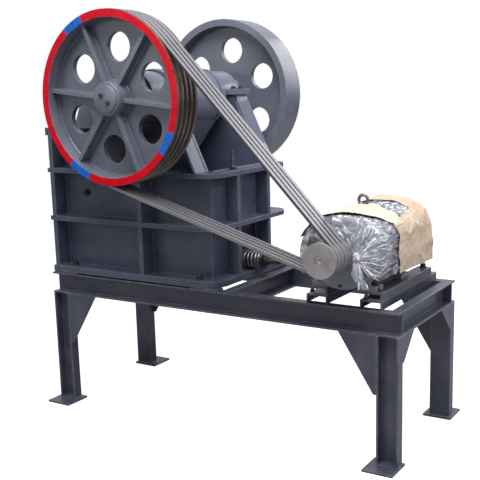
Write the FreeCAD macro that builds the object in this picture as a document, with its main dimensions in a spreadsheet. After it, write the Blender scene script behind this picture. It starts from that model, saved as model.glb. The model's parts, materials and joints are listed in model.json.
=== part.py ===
import FreeCAD, Part
import math
import os
import Sketcher
from FreeCAD import Placement, Rotation, Vector

# Jaw crusher on a channel-steel stand, with its motor and belt drive.
# Millimetres. The origin is on the floor under the middle of the stand: +X runs along the
# stand from the crusher to the motor, the belts are on the -Y side, and +Z is up.

doc = FreeCAD.newDocument("jaw_crusher")
sheet = doc.addObject("Spreadsheet::Sheet", "dim")


class Size:
    """A length and the sheet formula it comes from, so that plain sums keep both."""

    def __init__(self, value, formula):
        self.value = value
        self.formula = formula

    def __add__(self, other):
        other = as_size(other)
        return Size(self.value + other.value, "(%s + %s)" % (self.formula, other.formula))

    def __sub__(self, other):
        other = as_size(other)
        return Size(self.value - other.value, "(%s - %s)" % (self.formula, other.formula))

    def __mul__(self, other):
        other = as_size(other)
        return Size(self.value * other.value, "(%s * %s)" % (self.formula, other.formula))

    def __truediv__(self, other):
        other = as_size(other)
        return Size(self.value / other.value, "(%s / %s)" % (self.formula, other.formula))

    def __radd__(self, other):
        return as_size(other) + self

    def __rsub__(self, other):
        return as_size(other) - self

    def __rmul__(self, other):
        return as_size(other) * self

    def __neg__(self):
        return Size(-self.value, "(-%s)" % self.formula)


def as_size(item):
    return item if isinstance(item, Size) else Size(float(item), repr(float(item)))


class Sizes:
    """The sheet's cells as attributes: d.stand_length is the cell of that name."""


d = Sizes()


def sizes(title, **values):
    """Write one group of driving dimensions to the sheet."""
    sheet.set("A%d" % (sizes.row), title)
    sizes.row += 1
    for name, value in values.items():
        cell = "B%d" % sizes.row
        sheet.set("A%d" % sizes.row, name.replace("_", " "))
        sheet.set(cell, str(value))
        sheet.setAlias(cell, name)
        setattr(d, name, Size(float(value), "dim." + name))
        sizes.row += 1


sizes.row = 1

sizes("Stand", stand_length=1916, stand_margin=3, stand_height=681, channel_depth=106,
      channel_width=48, channel_web=6, channel_flange=8, leg_width=100, cross_beam_place=96)
sizes("Feet", foot_length=140, foot_width=143, foot_thick=10, foot_inset=-10,
      foot_outreach=84, anchor_radius=9, anchor_pitch=46, anchor_offset=18)
sizes("Gussets", gusset_thick=8, gusset_reach=178, gusset_drop=258, gusset_nose=14,
      end_gusset_reach=127, end_gusset_drop=118)
sizes("Crusher body", body_front=-942, body_back=68, body_half_width=350, shim_thick=10,
      shim_length=150, base_thick=30, front_plate_place=-930, front_plate=25,
      wall_outer=262, wall_thick=26, rear_face=-10, rear_corner=95,
      body_top=1421, rear_top=1220, ring_thick=22, lower_ring=955, top_bar_thick=38,
      top_bar_end=-560, rib_thick=22, side_rib_place=-369, side_rib_depth=84,
      rear_rib_place=137, rear_port_half=124, rear_port_low=12)
sizes("Bearings and shaft", axis_place=-361, axis_height=1563, journal_radius=45,
      running_gap=0.05, housing_radius=122, housing_inner=226, housing_outer=362,
      housing_flange=28, housing_half_length=190, pedestal_plate=12, pedestal_inner=246,
      pedestal_outer=346, pedestal_foot=-28, pedestal_head=-186, seat_gap=0.3,
      eccentric_throw=10, eccentric_radius=60)
sizes("Swing jaw", barrel_radius=142, barrel_half=210, jaw_half=195, jaw_thick=40,
      jaw_top_place=-585, jaw_top_height=1450, jaw_foot_place=-775, jaw_foot_height=860,
      fixed_jaw_foot=860, fixed_jaw_top=1405, cheek_thick=28, cheek_gap=2,
      pitman_foot_depth=120, toggle_height=930, toggle_thick=32, toggle_gap=20)
sizes("Tension rod", rod_height=768, rod_radius=13, rod_end=203, spring_outer=45,
      spring_inner=32, spring_start=9, spring_length=96, bracket_thick=18,
      washer_radius=42, washer_thick=8, nut_radius=20, nut_length=32)
sizes("Flywheels", wheel_radius=390, wheel_width=148, wheel_outer=541.6, rim_thick=35,
      web_recess=65, web_thick=26, hole_radius=66, hole_pitch=230, hole_angle=23.5,
      rib_width=18, rib_height=42, hub_radius=76, cap_radius=62, cap_length=26)
sizes("Belts", belt_pitch=32, belt_top=22, belt_bottom=13, belt_thick=14, belt_proud=1.5,
      groove_gap=0.8, belt_count=4)
sizes("Motor", motor_place=696, shaft_height=160, motor_radius=162, motor_front=-374,
      motor_back=150, motor_shaft_radius=21, pulley_radius=74.6, pulley_width=148,
      foot_plate=22, foot_half_span=150, foot_pitch=127, motor_foot_front=-290,
      motor_foot_back=60, eye_place=-120, eye_outer=28, eye_wire=7, eye_height=196)
sizes("Motor rails", base_rail_width=100, base_rail_height=37, base_rail_plate=7,
      slide_rail_width=64, rail_half_length=325, slide_rail_plate=8)
sizes("Motor cover", cover_gap=0.3, film_thick=10, film_front=-387, film_back=-200,
      film_collar=34, paper_thick=12, paper_back=178, cover_skirt=62, film_bulge=52,
      film_bulge_front=-350, film_bulge_height=100, paper_bulge=46, paper_bulge_back=165,
      paper_bulge_height=118)
sizes("Bolts", base_bolt_radius=15, base_bolt_head=16, base_bolt_front=-837,
      base_bolt_back=-61, base_bolt_line=300, wall_bolt_place=-765, wall_bolt_height=1094,
      wall_bolt_radius=13, wall_bolt_length=26)
doc.recompute()


# ---------------------------------------------------------------- making and naming pieces

PIECES = []


def bind(thing, prop, size):
    size = as_size(size)
    thing.setExpression(prop, size.formula)


def place(thing, x, y, z, rotation=Rotation()):
    x, y, z = as_size(x), as_size(y), as_size(z)
    thing.Placement = Placement(Vector(x.value, y.value, z.value), rotation)
    bind(thing, "Placement.Base.x", x)
    bind(thing, "Placement.Base.y", y)
    bind(thing, "Placement.Base.z", z)


def keep(thing, label):
    """Mark an object as a sub-part: its label names its file."""
    thing.Label = label
    PIECES.append(thing)
    return thing


def box(name, low, high):
    """A block between two corners."""
    block = doc.addObject("Part::Box", name)
    for prop, start, end in zip(("Length", "Width", "Height"), low, high):
        bind(block, prop, as_size(end) - start)
    place(block, *low)
    return block


TURN = {"x": Rotation(Vector(0, 1, 0), 90), "y": Rotation(Vector(1, 0, 0), -90),
        "z": Rotation()}


def rod(name, start, radius, length, axis):
    """A round bar that runs from start along the positive axis."""
    bar = doc.addObject("Part::Cylinder", name)
    bind(bar, "Radius", radius)
    bind(bar, "Height", length)
    place(bar, *start, TURN[axis])
    return bar


def cut(name, base, *tools):
    result = doc.addObject("Part::Cut", name)
    result.Base = base
    result.Tool = tools[0] if len(tools) == 1 else fuse(name + "_tools", *tools)
    return result


def fuse(name, *shapes):
    result = doc.addObject("Part::MultiFuse", name)
    result.Shapes = list(shapes)
    return result


def group(name, *shapes):
    """Like pieces that share a node without touching."""
    result = doc.addObject("Part::Compound", name)
    result.Links = list(shapes)
    return result


def origin_part(body, role):
    return next(item for item in body.Origin.OriginFeatures if item.Role == role)


def flat_sketch(body, name, role):
    sketch = body.newObject("Sketcher::SketchObject", name)
    sketch.AttachmentSupport = [(origin_part(body, role), "")]
    sketch.MapMode = "FlatFace"
    return sketch


def fix(sketch, kind, *what):
    """Add one constraint whose last value is a size, and bind it to the sheet."""
    size = as_size(what[-1])
    index = sketch.addConstraint(Sketcher.Constraint(kind, *what[:-1], size.value))
    sketch.setExpression("Constraints[%d]" % index, size.formula)


def draw_outline(sketch, points):
    """A closed outline of straight edges, with each corner bound to the sheet."""
    first = len(sketch.Geometry)
    count = len(points)
    spots = [Vector(as_size(a).value, as_size(b).value, 0) for a, b in points]
    for i in range(count):
        sketch.addGeometry(Part.LineSegment(spots[i], spots[(i + 1) % count]), False)
    for i in range(count):
        after = first + (i + 1) % count
        sketch.addConstraint(Sketcher.Constraint("Coincident", first + i, 2, after, 1))
    for i, (across, up) in enumerate(points):
        fix(sketch, "DistanceX", -1, 1, first + i, 1, across)
        fix(sketch, "DistanceY", -1, 1, first + i, 1, up)


def draw_circle(sketch, across, up, radius):
    across, up, radius = as_size(across), as_size(up), as_size(radius)
    index = len(sketch.Geometry)
    middle = Vector(across.value, up.value, 0)
    sketch.addGeometry(Part.Circle(middle, Vector(0, 0, 1), radius.value), False)
    fix(sketch, "Radius", index, radius)
    fix(sketch, "DistanceX", -1, 1, index, 3, across)
    fix(sketch, "DistanceY", -1, 1, index, 3, up)


PLANES = {"x": "YZ_Plane", "y": "XZ_Plane", "z": "XY_Plane"}


def plate(name, axis, points, start, length, holes=(), inner=None):
    """An outline in the plane across an axis, padded from start along that axis."""
    body = doc.addObject("PartDesign::Body", name)
    sketch = flat_sketch(body, name + "_outline", PLANES[axis])
    draw_outline(sketch, points)
    if inner:
        draw_outline(sketch, inner)
    for across, up, radius in holes:
        draw_circle(sketch, across, up, radius)
    pad = body.newObject("PartDesign::Pad", name + "_pad")
    pad.Profile = sketch
    bind(pad, "Length", length)
    pad.Reversed = axis == "y"
    bind(body, "Placement.Base." + axis, start)
    return body


def round_corners(body, name, spots, radius):
    """Round the upright edges that stand nearest to the given corners in plan."""
    doc.recompute()
    base = body.Tip
    names = []
    for x, y in spots:
        x, y = as_size(x).value, as_size(y).value
        for i, edge in enumerate(base.Shape.Edges):
            along = edge.tangentAt(edge.FirstParameter)
            middle = edge.CenterOfMass
            if abs(along.z) > 0.99 and math.hypot(middle.x - x, middle.y - y) < 1:
                names.append("Edge%d" % (i + 1))
    fillet = body.newObject("PartDesign::Fillet", name)
    fillet.Base = (base, names)
    bind(fillet, "Radius", radius)
    return body


def channel_section(back, tip, low, high):
    """A rolled channel's section: its web at back, its flanges reaching to tip."""
    web = back + (d.channel_web if tip.value > back.value else -d.channel_web)
    under = low + d.channel_flange
    over = high - d.channel_flange
    return [(back, low), (tip, low), (tip, under), (web, under),
            (web, over), (tip, over), (tip, high), (back, high)]


# ---------------------------------------------------------------- the stand

stand_end = d.stand_length / 2
stand_side = d.body_half_width - d.stand_margin
web_side = stand_side - d.channel_width
beam_low = d.stand_height - d.channel_depth

for label, side in (("stand_front_rail", -1), ("stand_back_rail", 1)):
    section = channel_section(side * web_side, side * stand_side, beam_low, d.stand_height)
    keep(plate(label, "x", section, -stand_end, d.stand_length), label)

end_beams = []
for label, side in (("left_beam", -1), ("right_beam", 1)):
    section = channel_section(side * (stand_end - d.channel_width), side * stand_end,
                              beam_low, d.stand_height)
    end_beams.append(plate(label, "y", section, -web_side, 2 * web_side))
keep(group("end_beams", *end_beams), "stand_end_beams")

cross_back = d.cross_beam_place - d.channel_width / 2
section = channel_section(cross_back, cross_back + d.channel_width, beam_low, d.stand_height)
keep(plate("cross_beam", "y", section, -web_side, 2 * web_side), "stand_cross_beam")

# A leg is the same channel stood on end, open outwards. Its foot reaches out past it.
leg_inner = stand_end - d.leg_width
feet = []
gussets = []
for label, end, side in (("front_left", -1, -1), ("front_right", 1, -1),
                         ("back_left", -1, 1), ("back_right", 1, 1)):
    near, far = end * leg_inner, end * stand_end
    back, tip = side * web_side, side * stand_side
    web = back + side * d.channel_web
    inset = end * d.channel_flange
    section = [(near, back), (far, back), (far, tip), (far - inset, tip),
               (far - inset, web), (near + inset, web), (near + inset, tip), (near, tip)]
    keep(plate("leg_" + label, "z", section, d.foot_thick, beam_low - d.foot_thick),
         "leg_" + label)

    foot_far = end * (stand_end - d.foot_inset)
    foot_near = foot_far - end * d.foot_length
    foot_tip = tip + side * d.foot_outreach
    foot_back = foot_tip - side * d.foot_width
    middle = end * (stand_end - d.leg_width / 2)
    anchor_line = tip + side * d.anchor_offset
    holes = [(middle - d.anchor_pitch / 2, anchor_line, d.anchor_radius),
             (middle + d.anchor_pitch / 2, anchor_line, d.anchor_radius)]
    outline = [(foot_near, foot_back), (foot_far, foot_back),
               (foot_far, foot_tip), (foot_near, foot_tip)]
    feet.append(plate("foot_" + label, "z", outline, 0, d.foot_thick, holes))

    reach = near - end * d.gusset_reach
    drop = beam_low - d.gusset_drop
    outline = [(near, beam_low), (reach, beam_low), (near - end * d.gusset_nose, drop),
               (near, drop)]
    start = tip if side < 0 else tip - d.gusset_thick
    gussets.append(plate("gusset_" + label, "y", outline, start, d.gusset_thick))

    reach = back - side * d.end_gusset_reach
    drop = beam_low - d.end_gusset_drop
    outline = [(back, beam_low), (reach, beam_low), (back - side * d.gusset_nose, drop),
               (back, drop)]
    start = far if end < 0 else far - d.gusset_thick
    gussets.append(plate("end_gusset_" + label, "x", outline, start, d.gusset_thick))
keep(group("feet", *feet), "leg_base_plates")
keep(group("gussets", *gussets), "leg_gussets")


# ---------------------------------------------------------------- the crusher's body

base_low = d.stand_height + d.shim_thick
base_high = base_low + d.base_thick
wall_inner = d.wall_outer - d.wall_thick
plate_back = d.front_plate_place + d.front_plate
rear_inner = d.rear_face - d.wall_thick
upper_ring = d.rear_top - d.ring_thick
lower_ring_top = d.lower_ring + d.ring_thick

shims = []
for side in (-1, 1):
    near, far = sorted((side * web_side, side * stand_side), key=lambda size: size.value)
    for start, end in ((d.body_front, d.body_front + d.shim_length),
                       (d.body_back - d.shim_length, d.body_back)):
        shims.append(box("shim", (start, near, d.stand_height), (end, far, base_low)))
keep(group("shims", *shims), "base_shims")


def ring(name, label, low, thick):
    """A flange round the sides and the back, with its two rear corners rounded."""
    half = d.body_half_width
    outline = [(plate_back, -half), (d.body_back, -half), (d.body_back, half),
               (plate_back, half), (plate_back, d.wall_outer), (d.rear_face, d.wall_outer),
               (d.rear_face, -d.wall_outer), (plate_back, -d.wall_outer)]
    body = plate(name, "z", outline, low, thick)
    round_corners(body, name + "_corners", ((d.body_back, -half), (d.body_back, half)),
                  d.rear_corner)
    return keep(body, label)


ring("lower_ring", "lower_rib_ring", d.lower_ring, d.ring_thick)
ring("upper_ring", "upper_rib_ring", upper_ring, d.ring_thick)

half = d.body_half_width
base_outline = [(d.body_front, -half), (d.body_back, -half), (d.body_back, half),
                (d.body_front, half)]
base_opening = [(plate_back, -wall_inner), (rear_inner, -wall_inner),
                (rear_inner, wall_inner), (plate_back, wall_inner)]
base = plate("base", "z", base_outline, base_low, d.base_thick, inner=base_opening)
round_corners(base, "base_corners", ((d.body_back, -half), (d.body_back, half)),
              d.rear_corner)
keep(base, "base_flange")

plate_half = half - 4
keep(box("front_plate", (d.front_plate_place, -plate_half, base_high),
         (plate_back, plate_half, d.body_top)), "front_wall")

front_strips = []
for low, thick in ((d.lower_ring, d.ring_thick), (upper_ring, d.ring_thick),
                   (d.body_top - d.top_bar_thick, d.top_bar_thick)):
    front_strips.append(box("front_strip", (d.body_front, -half, low),
                            (d.front_plate_place, half, low + thick)))

side_ribs = []
for side in (-1, 1):
    near, far = sorted((side * d.wall_outer, side * (d.wall_outer + d.side_rib_depth)),
                       key=lambda size: size.value)
    rear_near = side * d.rear_rib_place - d.rib_thick / 2
    for low, high in ((base_high, d.lower_ring), (lower_ring_top, upper_ring)):
        side_ribs.append(box("side_rib", (d.side_rib_place - d.rib_thick / 2, near, low),
                             (d.side_rib_place + d.rib_thick / 2, far, high)))
        side_ribs.append(box("rear_rib", (d.rear_face, rear_near, low),
                             (d.body_back - 2, rear_near + d.rib_thick, high)))
keep(group("uprights", *side_ribs), "upright_ribs")
keep(group("strips", *front_strips), "front_ribs")

# The top bar runs round the mouth on the outside of the side walls.
bars = []
for side in (-1, 1):
    near, far = sorted((side * d.wall_outer, side * half), key=lambda size: size.value)
    bars.append(box("top_bar", (plate_back, near, d.body_top - d.top_bar_thick),
                    (d.top_bar_end, far, d.body_top)))
keep(group("top_bars_pair", *bars), "top_bars")

# Each side wall rises behind the mouth into the pedestal that carries a bearing housing,
# with a round notch in its top for the housing's lower half.
seat_height = d.axis_height
pedestal_front = d.axis_place - (d.pedestal_head - d.axis_place)
slope_gap = d.pedestal_plate * 1.15
wall_outline = [(plate_back, base_high), (d.rear_face, base_high), (d.rear_face, d.rear_top),
                (d.pedestal_foot - slope_gap, d.rear_top),
                (d.pedestal_head - slope_gap, seat_height),
                (pedestal_front, seat_height), (d.top_bar_end, d.body_top),
                (plate_back, d.body_top)]
for label, start in (("front", -d.wall_outer), ("back", wall_inner)):
    notch = rod("wall_notch_" + label, (d.axis_place, start, d.axis_height),
                d.housing_radius + d.seat_gap, d.wall_thick, "y")
    wall = plate("wall_plate_" + label, "y", wall_outline, start, d.wall_thick)
    keep(cut("wall_" + label, wall, notch), "side_wall_" + label)

# A sloping cover plate closes the back of each pedestal.
slope = [(d.pedestal_foot - slope_gap, d.rear_top), (d.pedestal_foot, d.rear_top),
         (d.pedestal_head, seat_height), (d.pedestal_head - slope_gap, seat_height)]
slopes = [plate("slope_front", "y", slope, -d.pedestal_outer,
                d.pedestal_outer - d.pedestal_inner),
          plate("slope_back", "y", slope, d.pedestal_inner,
                d.pedestal_outer - d.pedestal_inner)]
keep(group("slopes", *slopes), "pedestal_plates")

# The back wall has a port at its foot for the tension rod, with a bar that the spring bears on.
port = d.rear_port_half
port_low = base_high + d.rear_port_low
rear_outline = [(-wall_inner, base_high), (wall_inner, base_high), (wall_inner, d.rear_top),
                (-wall_inner, d.rear_top)]
rear_port = [(-port, port_low), (port, port_low), (port, d.lower_ring), (-port, d.lower_ring)]
keep(plate("rear_wall_plate", "x", rear_outline, rear_inner, d.wall_thick, inner=rear_port),
     "rear_wall")

bracket_top = d.rod_height + d.spring_outer
bracket_outline = [(-port, base_high), (port, base_high), (port, bracket_top),
                   (-port, bracket_top)]
keep(plate("spring_bar", "x", bracket_outline, d.rear_face, d.bracket_thick,
           [(0, d.rod_height, d.rod_radius + 1)]), "spring_bracket")

# Trapezoid lugs on the side walls, just behind the mouth.
lug_foot_front, lug_foot_back = plate_back + 80, plate_back + 212
lug_head_front, lug_head_back = plate_back + 126, plate_back + 184
lug_outline = [(lug_foot_front, d.body_top), (lug_foot_back, d.body_top),
               (lug_head_back, d.body_top + 112), (lug_head_front, d.body_top + 112)]
lugs = [plate("lug_front", "y", lug_outline, -d.wall_outer, d.wall_thick),
        plate("lug_back", "y", lug_outline, wall_inner, d.wall_thick)]
keep(group("lugs", *lugs), "lifting_lugs")

# Bolts hold the body's foot down to the stand, and one stands in each side wall.
base_bolts = [rod("base_bolt", (x, side * d.base_bolt_line, base_high), d.base_bolt_radius,
                  d.base_bolt_head, "z")
              for x in (d.base_bolt_front, d.base_bolt_back) for side in (-1, 1)]
keep(group("base_bolt_set", *base_bolts), "base_bolts")

wall_bolts = [rod("wall_bolt", (d.wall_bolt_place, start, d.wall_bolt_height),
                  d.wall_bolt_radius, d.wall_bolt_length, "y")
              for start in (-d.wall_outer - d.wall_bolt_length, d.wall_outer)]
keep(group("wall_bolt_pair", *wall_bolts), "wall_bolts")

stud_base = (d.body_back - 50, -110)
stud = rod("stud_bar", (*stud_base, d.rear_top), 8, 90, "z")
stud_nut = rod("stud_nut", (*stud_base, d.rear_top), 17, 18, "z")
keep(fuse("stud", stud, stud_nut), "rear_stud")


# ---------------------------------------------------------------- shaft and bearings

# A housing is a round body whose flange lies on the pedestal at the height of the shaft.
bore = d.journal_radius + d.running_gap
for label, start in (("front", -d.housing_outer), ("back", d.housing_inner)):
    width = d.housing_outer - d.housing_inner
    name = "bearing_housing_" + label
    barrel = rod(name + "_barrel", (d.axis_place, start, d.axis_height), d.housing_radius,
                 width, "y")
    seat = box(name + "_seat", (d.axis_place - d.housing_half_length, start, seat_height),
               (d.axis_place + d.housing_half_length, start + width,
                seat_height + d.housing_flange))
    hole = rod(name + "_bore", (d.axis_place, start, d.axis_height), bore, width, "y")
    keep(cut(name, fuse(name + "_body", barrel, seat), hole), name)

eccentric_height = d.axis_height - d.eccentric_throw
journal_end = d.wheel_outer - 1
shaft_bar = rod("shaft_bar", (d.axis_place, -journal_end, d.axis_height), d.journal_radius,
                2 * journal_end, "y")
shaft_cam = rod("shaft_cam", (d.axis_place, -(d.barrel_half + 6), eccentric_height),
                d.eccentric_radius, 2 * (d.barrel_half + 6), "y")
keep(fuse("shaft", shaft_bar, shaft_cam), "eccentric_shaft")


# ---------------------------------------------------------------- the two jaws

face_run = d.jaw_foot_place.value - d.jaw_top_place.value
face_rise = d.jaw_foot_height.value - d.jaw_top_height.value
face_length = math.hypot(face_run, face_rise)
step_out = d.jaw_thick * (face_rise / face_length)
step_up = -d.jaw_thick * (face_run / face_length)
jaw_outline = [(d.jaw_top_place, d.jaw_top_height), (d.jaw_foot_place, d.jaw_foot_height),
               (d.jaw_foot_place + step_out, d.jaw_foot_height + step_up),
               (d.jaw_top_place + step_out, d.jaw_top_height + step_up)]
keep(plate("swing_plate", "y", jaw_outline, -d.jaw_half, 2 * d.jaw_half), "swing_jaw_plate")

pitman_back = d.jaw_foot_place + d.pitman_foot_depth
pitman_outline = [(d.jaw_foot_place, d.jaw_foot_height),
                  (pitman_back, d.jaw_foot_height - 25),
                  (pitman_back + 20, d.toggle_height + 50),
                  (d.axis_place + d.barrel_radius * 0.9, eccentric_height - 60),
                  (d.axis_place, eccentric_height + d.barrel_radius * 0.9),
                  (d.jaw_top_place, d.jaw_top_height)]
casting = plate("pitman_web", "y", pitman_outline, -d.jaw_half, 2 * d.jaw_half)
barrel = rod("pitman_barrel", (d.axis_place, -d.barrel_half, eccentric_height),
             d.barrel_radius, 2 * d.barrel_half, "y")
pitman_bore = rod("pitman_bore", (d.axis_place, -d.barrel_half, eccentric_height),
                  d.eccentric_radius + d.running_gap, 2 * d.barrel_half, "y")
keep(cut("pitman_casting", fuse("pitman_solid", casting, barrel), pitman_bore), "pitman")

keep(box("fixed_plate", (plate_back, -d.jaw_half, d.fixed_jaw_foot),
         (plate_back + d.jaw_thick, d.jaw_half, d.fixed_jaw_top)), "fixed_jaw_plate")

cheek_outline = [(plate_back + d.cheek_gap, d.fixed_jaw_foot),
                 (d.jaw_foot_place + 20, d.fixed_jaw_foot),
                 (d.jaw_top_place + 10, d.fixed_jaw_top),
                 (plate_back + d.cheek_gap, d.fixed_jaw_top)]
cheeks = [plate("cheek_front", "y", cheek_outline, -wall_inner, d.cheek_thick),
          plate("cheek_back", "y", cheek_outline, wall_inner - d.cheek_thick, d.cheek_thick)]
keep(group("cheeks", *cheeks), "cheek_plates")

# The toggle plate stands between the block on the back wall and the foot of the pitman.
block_front = rear_inner - 60
keep(box("toggle_seat", (block_front, -wall_inner, d.toggle_height - 5),
         (rear_inner, wall_inner, d.toggle_height + 105)), "toggle_block")
toggle_front = pitman_back + 20 + d.toggle_gap
toggle_half = d.toggle_thick / 2
toggle_outline = [(toggle_front, d.toggle_height - 30 - toggle_half),
                  (block_front, d.toggle_height + 50 - toggle_half),
                  (block_front, d.toggle_height + 50 + toggle_half),
                  (toggle_front, d.toggle_height - 30 + toggle_half)]
keep(plate("toggle", "y", toggle_outline, -(d.jaw_half - 15), 2 * (d.jaw_half - 15)),
     "toggle_plate")

# The tension rod runs out through the back wall and is drawn back by its spring.
rod_start = pitman_back + d.toggle_gap
rod_bar = rod("tension_bar", (rod_start, 0, d.rod_height), d.rod_radius,
              d.rod_end - rod_start, "x")
washer_place = d.spring_start + d.spring_length
washer = rod("tension_washer", (washer_place, 0, d.rod_height), d.washer_radius,
             d.washer_thick, "x")
nuts = rod("tension_nuts", (washer_place + d.washer_thick, 0, d.rod_height), d.nut_radius,
           d.nut_length, "x")
keep(fuse("tension_bar_set", rod_bar, washer, nuts), "tension_rod")
spring = rod("spring_outside", (d.spring_start, 0, d.rod_height), d.spring_outer,
             d.spring_length, "x")
spring_hole = rod("spring_inside", (d.spring_start, 0, d.rod_height), d.spring_inner,
                  d.spring_length, "x")
keep(cut("spring", spring, spring_hole), "tension_spring")


# ---------------------------------------------------------------- flywheels and pulley

groove_outside = d.belt_top / 2 + d.groove_gap
groove_deep = d.belt_thick - d.belt_proud + d.groove_gap
groove_inside = d.belt_bottom / 2 + d.groove_gap
belt_middle = d.wheel_outer - d.wheel_width / 2


def belt_lines():
    """The y offset of each belt from the middle of the grooved rim."""
    count = int(d.belt_count.value)
    return [d.belt_pitch * (i - (count - 1) / 2) for i in range(count)]


def turn_about_y(body, name, points, kind="PartDesign::Revolution"):
    """Turn an outline of (y, radius) points about the body's own Y axis."""
    sketch = flat_sketch(body, name + "_outline", "YZ_Plane")
    draw_outline(sketch, points)
    turned = body.newObject(kind, name)
    turned.Profile = sketch
    turned.ReferenceAxis = (sketch, ["H_Axis"])
    turned.Angle = 360
    return turned


def repeat_round(body, name, feature, count):
    pattern = body.newObject("PartDesign::PolarPattern", name)
    pattern.Originals = [feature]
    pattern.Axis = (origin_part(body, "Y_Axis"), [""])
    pattern.Angle = 360
    pattern.Occurrences = count
    body.Tip = pattern
    return pattern


def flywheel(name, out):
    """A cast wheel with a deep rim, a holed web, six ribs on its outside and a hub."""
    face = out * d.wheel_outer
    back = face - out * d.wheel_width
    web_face = face - out * d.web_recess
    web_back = web_face - out * d.web_thick
    rim_in = d.wheel_radius - d.rim_thick
    shaft_hole = d.journal_radius
    body = doc.addObject("PartDesign::Body", name)
    outline = [(face, rim_in), (face, d.wheel_radius), (back, d.wheel_radius),
               (back, rim_in), (web_back, rim_in - 6), (web_back, d.hub_radius + 8),
               (back, d.hub_radius), (back, shaft_hole), (face, shaft_hole),
               (face, d.hub_radius), (web_face, d.hub_radius + 6), (web_face, rim_in - 8)]
    turn_about_y(body, name + "_casting", outline)

    angle = math.radians(d.hole_angle.value)
    sketch = flat_sketch(body, name + "_hole_outline", "XZ_Plane")
    draw_circle(sketch, d.hole_pitch * math.cos(angle), d.hole_pitch * math.sin(angle),
                d.hole_radius)
    hole = body.newObject("PartDesign::Pocket", name + "_hole")
    hole.Profile = sketch
    hole.Type = "ThroughAll"
    hole.Reversed = out < 0
    repeat_round(body, name + "_holes", hole, 6)
    place(body, d.axis_place, 0, d.axis_height)
    return body


def wheel_ribs(name, out):
    """The six ribs that stand on the outer side of a wheel's web."""
    web_face = out * (d.wheel_outer - d.web_recess)
    rib_angle = math.radians(d.hole_angle.value - 30)
    start, end = sorted((web_face, web_face + out * d.rib_height),
                        key=lambda size: size.value)
    ribs = []
    for i in range(6):
        angle = rib_angle + math.radians(60) * i
        along = Vector(math.cos(angle), 0, math.sin(angle))
        rib = doc.addObject("Part::Box", name + "_rib")
        bind(rib, "Length", d.wheel_radius - d.rim_thick - d.hub_radius)
        bind(rib, "Width", end - start)
        bind(rib, "Height", d.rib_width)
        turn = Rotation(Vector(0, 1, 0), -math.degrees(angle))
        over = -d.rib_width / 2
        place(rib, d.axis_place + d.hub_radius * along.x - over * along.z,
              start, d.axis_height + d.hub_radius * along.z + over * along.x, turn)
        ribs.append(rib)
    return ribs


def grooves(name, x, z, middle, radius):
    """V grooves to take the belts, as rings to cut from a wheel."""
    rings = []
    for offset in belt_lines():
        body = doc.addObject("PartDesign::Body", name)
        line = middle + offset
        outline = [(line - groove_inside, radius - groove_deep),
                   (line + groove_inside, radius - groove_deep),
                   (line + groove_outside, radius + d.groove_gap),
                   (line - groove_outside, radius + d.groove_gap)]
        turn_about_y(body, name + "_ring", outline)
        place(body, x, 0, z)
        rings.append(body)
    return rings


drive_wheel = fuse("drive_wheel_ribbed", flywheel("drive_wheel", -1),
                   *wheel_ribs("drive_wheel", -1))
keep(cut("drive_flywheel_grooved", drive_wheel,
         *grooves("wheel_groove", d.axis_place, d.axis_height, -belt_middle,
                  d.wheel_radius)), "drive_flywheel")
keep(fuse("plain_wheel_ribbed", flywheel("plain_wheel", 1), *wheel_ribs("plain_wheel", 1)),
     "plain_flywheel")

caps = []
for side in (-1, 1):
    start = -d.wheel_outer - d.cap_length if side < 0 else d.wheel_outer
    caps.append(rod("hub_cap", (d.axis_place, start, d.axis_height), d.cap_radius,
                    d.cap_length, "y"))
keep(group("hub_cap_pair", *caps), "hub_caps")

motor_height = (d.stand_height + 2 * d.base_rail_height + d.shaft_height)
pulley_front = -d.wheel_outer
pulley = rod("pulley_blank", (d.motor_place, pulley_front, motor_height), d.pulley_radius,
             d.pulley_width, "y")
pulley_bore = rod("pulley_bore", (d.motor_place, pulley_front, motor_height),
                  d.motor_shaft_radius, d.pulley_width, "y")
keep(cut("pulley", pulley, pulley_bore,
         *grooves("pulley_groove", d.motor_place, motor_height, -belt_middle,
                  d.pulley_radius)), "motor_pulley")


# ---------------------------------------------------------------- belts

def belt_shape(offset):
    """One V belt: two straight runs and the two arcs where it lies in the grooves."""
    big = d.wheel_radius.value + d.belt_proud.value
    small = d.pulley_radius.value + d.belt_proud.value
    wheel = Vector(d.axis_place.value, 0, d.axis_height.value)
    motor = Vector(d.motor_place.value, 0, motor_height.value)
    across = motor - wheel
    distance = across.Length
    along = across / distance
    side = Vector(-along.z, 0, along.x)
    lean = math.acos((big - small) / distance)
    line = -belt_middle.value + offset.value
    half_top = d.belt_top.value / 2
    half_bottom = d.belt_bottom.value / 2
    thick = d.belt_thick.value

    def section(middle, outward):
        """The belt's wedge section at one place on its path."""
        inner = middle + outward * -thick
        corners = [middle + Vector(0, line - half_top, 0),
                   middle + Vector(0, line + half_top, 0),
                   inner + Vector(0, line + half_bottom, 0),
                   inner + Vector(0, line - half_bottom, 0)]
        return Part.Face(Part.makePolygon(corners + corners[:1]))

    ways = [along * math.cos(lean) + side * (sign * math.sin(lean)) for sign in (1, -1)]
    parts = []
    for way in ways:
        start = wheel + way * big
        parts.append(section(start, way).extrude(motor + way * small - start))
    turn = math.degrees(lean)
    parts.append(section(wheel + ways[0] * big, ways[0]).revolve(
        wheel, Vector(0, 1, 0), -(360 - 2 * turn)))
    parts.append(section(motor + ways[0] * small, ways[0]).revolve(
        motor, Vector(0, 1, 0), 2 * turn))
    return parts[0].multiFuse(parts[1:]).removeSplitter()


belts = doc.addObject("Part::Feature", "belt_set")
belts.Shape = Part.makeCompound([belt_shape(offset) for offset in belt_lines()])
keep(belts, "v_belts")


# ---------------------------------------------------------------- motor, rails and cover

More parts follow.
